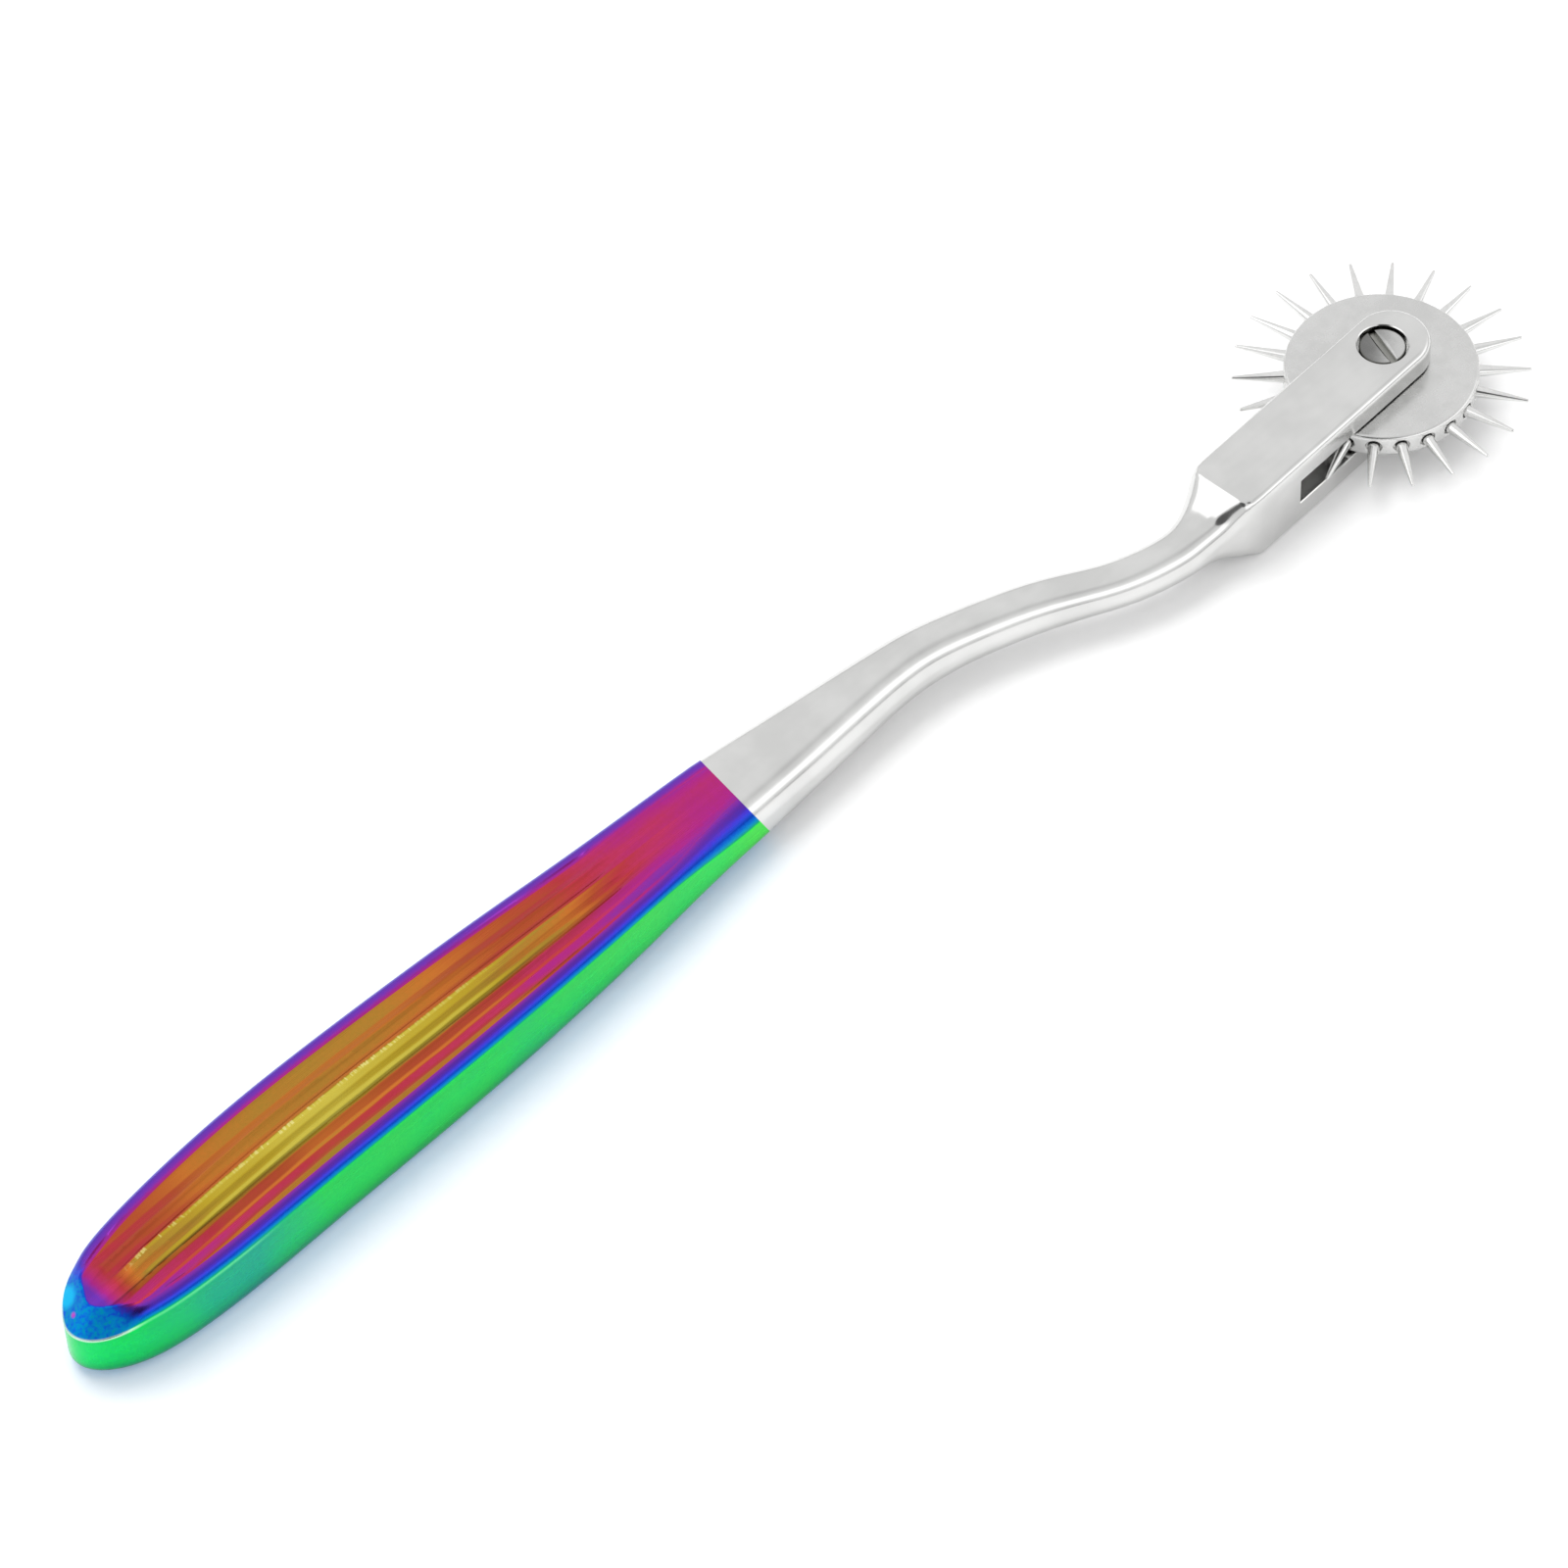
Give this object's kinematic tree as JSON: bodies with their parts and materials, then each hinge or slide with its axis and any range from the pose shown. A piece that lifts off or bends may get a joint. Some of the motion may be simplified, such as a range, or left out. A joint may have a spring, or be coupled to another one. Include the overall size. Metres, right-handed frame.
{
  "type": "neurological pinwheel",
  "caption": "Hand-held neurological pinwheel: a free-spinning wheel of sharp radial pins on a shoulder screw in a slotted fork, with an S-bent neck and a flat fluted grip.",
  "frame": {"origin": "on the wheel's axis, at the underside of the fork's lower ear", "axes": "+Z along the wheel's axis towards the screw's slotted head, +X from the grip towards the wheel, +Y to the side to which the neck's S-bend carries the grip"},
  "size_m": [0.1829, 0.0302, 0.0088],
  "materials": {
    "handle_steel": "polished stainless steel; the grip carries a rainbow-coloured coating",
    "screw_steel": "satin stainless steel",
    "wheel_steel": "turned and polished stainless steel",
    "pin_steel": "ground and polished stainless steel"
  },
  "bodies": {
    "handle": {"handle_body": "handle_steel", "pivot_screw": "screw_steel"},
    "wheel": {"wheel_disc": "wheel_steel", "pin_01": "pin_steel", "pin_02": "pin_steel", "pin_03": "pin_steel", "pin_04": "pin_steel", "pin_05": "pin_steel", "pin_06": "pin_steel", "pin_07": "pin_steel", "pin_08": "pin_steel", "pin_09": "pin_steel", "pin_10": "pin_steel", "pin_11": "pin_steel", "pin_12": "pin_steel", "pin_13": "pin_steel", "pin_14": "pin_steel", "pin_15": "pin_steel", "pin_16": "pin_steel", "pin_17": "pin_steel", "pin_18": "pin_steel", "pin_19": "pin_steel", "pin_20": "pin_steel", "pin_21": "pin_steel", "pin_22": "pin_steel"}
  },
  "joints": [
    {"name": "wheel_spin", "type": "hinge", "parent": "handle", "child": "wheel", "pos_m": [0, 0, 0.0044], "axis": [0, 0, 1], "continuous": true}
  ]
}
